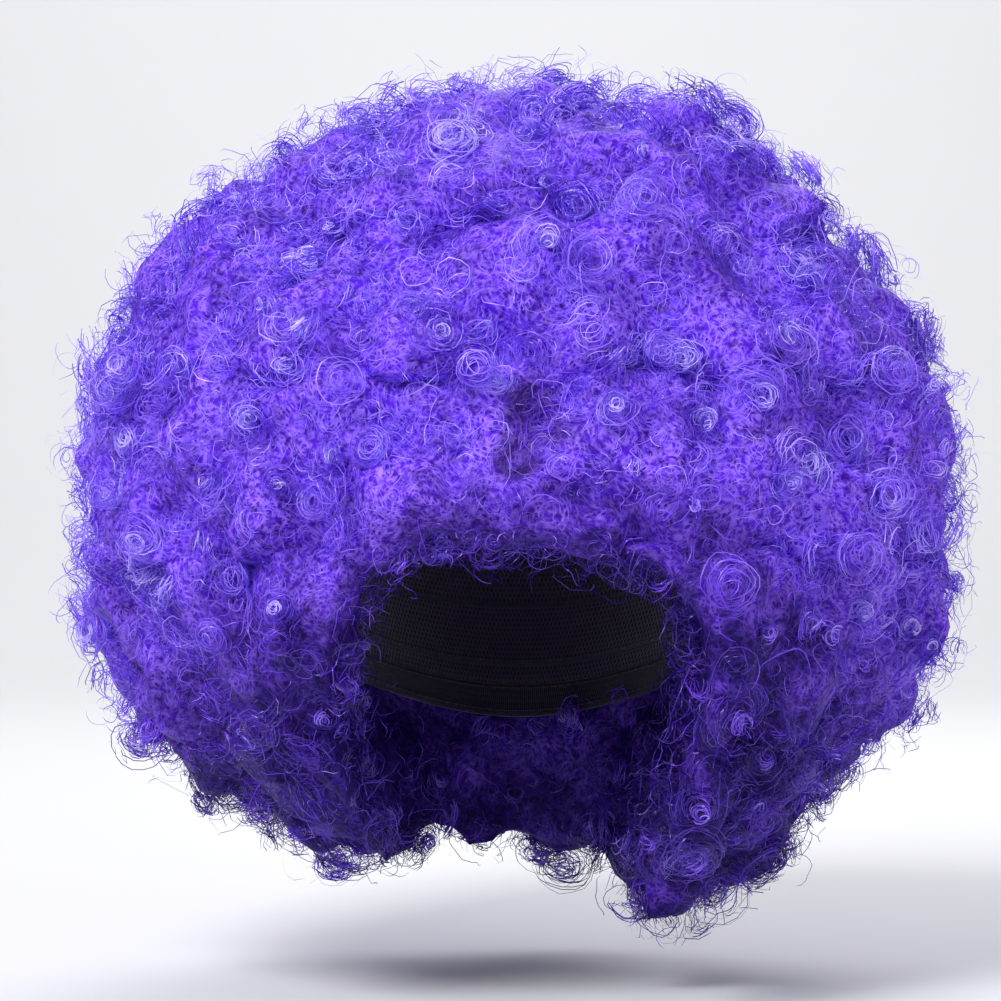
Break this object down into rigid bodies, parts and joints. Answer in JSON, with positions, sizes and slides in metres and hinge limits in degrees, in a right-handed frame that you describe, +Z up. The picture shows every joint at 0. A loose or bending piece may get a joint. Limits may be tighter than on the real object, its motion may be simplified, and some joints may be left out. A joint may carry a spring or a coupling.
{
  "type": "clown wig",
  "caption": "Round ball of tight synthetic curls sewn in rows to a stretch net cap with an elastic hem, open at the face and neck.",
  "frame": {"origin": "inside of the cap at the crown, where the top of the head sits", "axes": "+Z up, the face looks along -Y, +X towards the wearer's left"},
  "size_m": [0.3503, 0.3434, 0.3327],
  "materials": {
    "cap_net": "dark stretch net, matt",
    "hem_elastic": "ribbed woven elastic, matt",
    "curls_upper": "curled synthetic fibre, blue-violet, satin shine",
    "curls_lower": "curled synthetic fibre, deeper violet, satin shine"
  },
  "bodies": {
    "root": {"net_cap": "cap_net", "edge_band": "hem_elastic", "whorl_weft": "curls_upper", "crown_weft": "curls_upper", "upper_weft": "curls_upper", "brow_weft": "curls_upper", "ear_weft": "curls_lower", "nape_weft": "curls_lower"}
  },
  "joints": []
}
